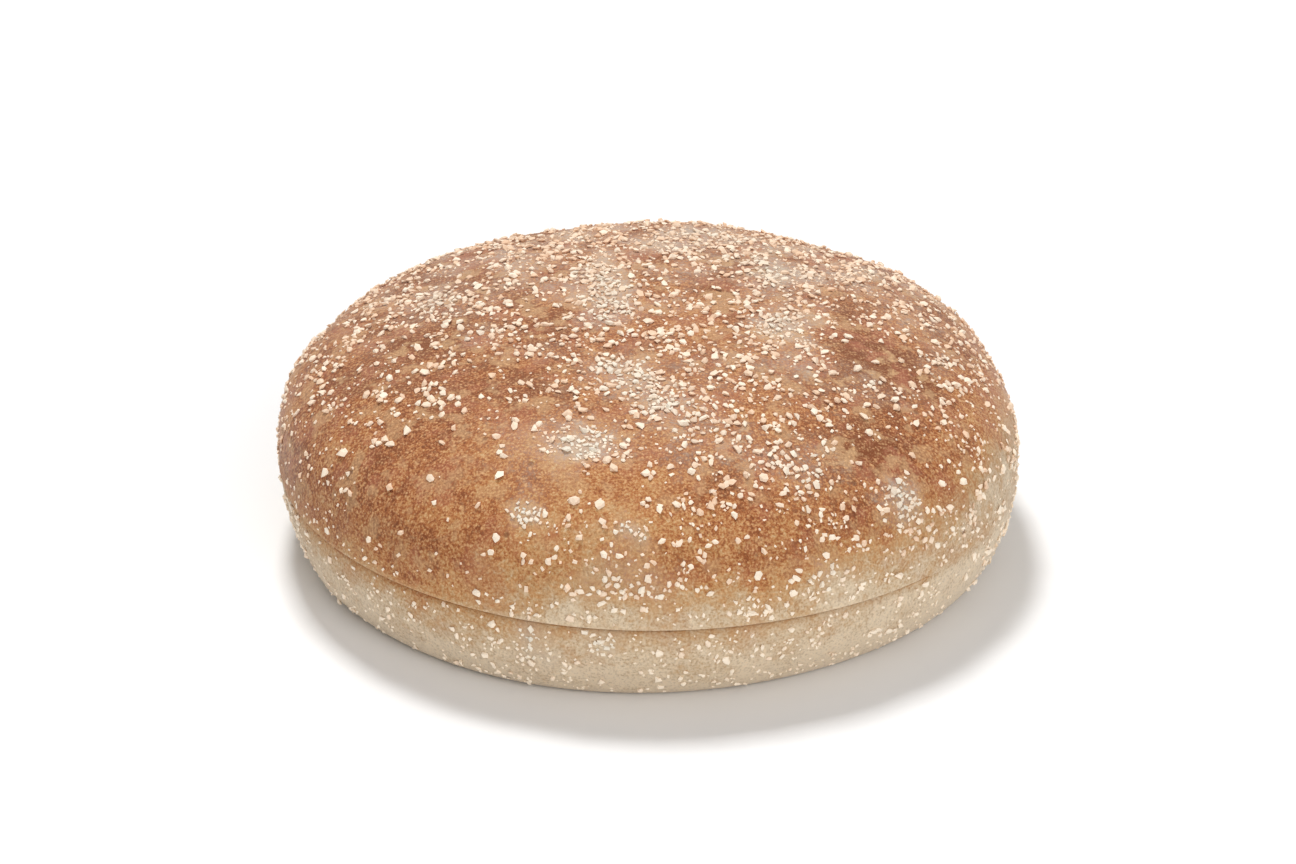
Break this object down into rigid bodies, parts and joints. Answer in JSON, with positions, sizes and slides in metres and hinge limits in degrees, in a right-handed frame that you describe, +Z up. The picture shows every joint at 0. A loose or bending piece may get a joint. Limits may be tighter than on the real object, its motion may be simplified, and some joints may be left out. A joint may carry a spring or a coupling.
{
  "type": "hamburger bun",
  "caption": "Flat round hamburger bun with a browned, grit-dusted crust, lying on its base and slit by a knife along the front between crown and heel.",
  "frame": {"origin": "middle of the flat base, on the surface that the bun rests on", "axes": "+Z up from the base to the crown, -Y to the front, where the slit is, +X to the right seen from the front"},
  "size_m": [0.1104, 0.1116, 0.0367],
  "materials": {
    "crust": null
  },
  "bodies": {
    "root": {"bun": "crust"}
  },
  "joints": []
}
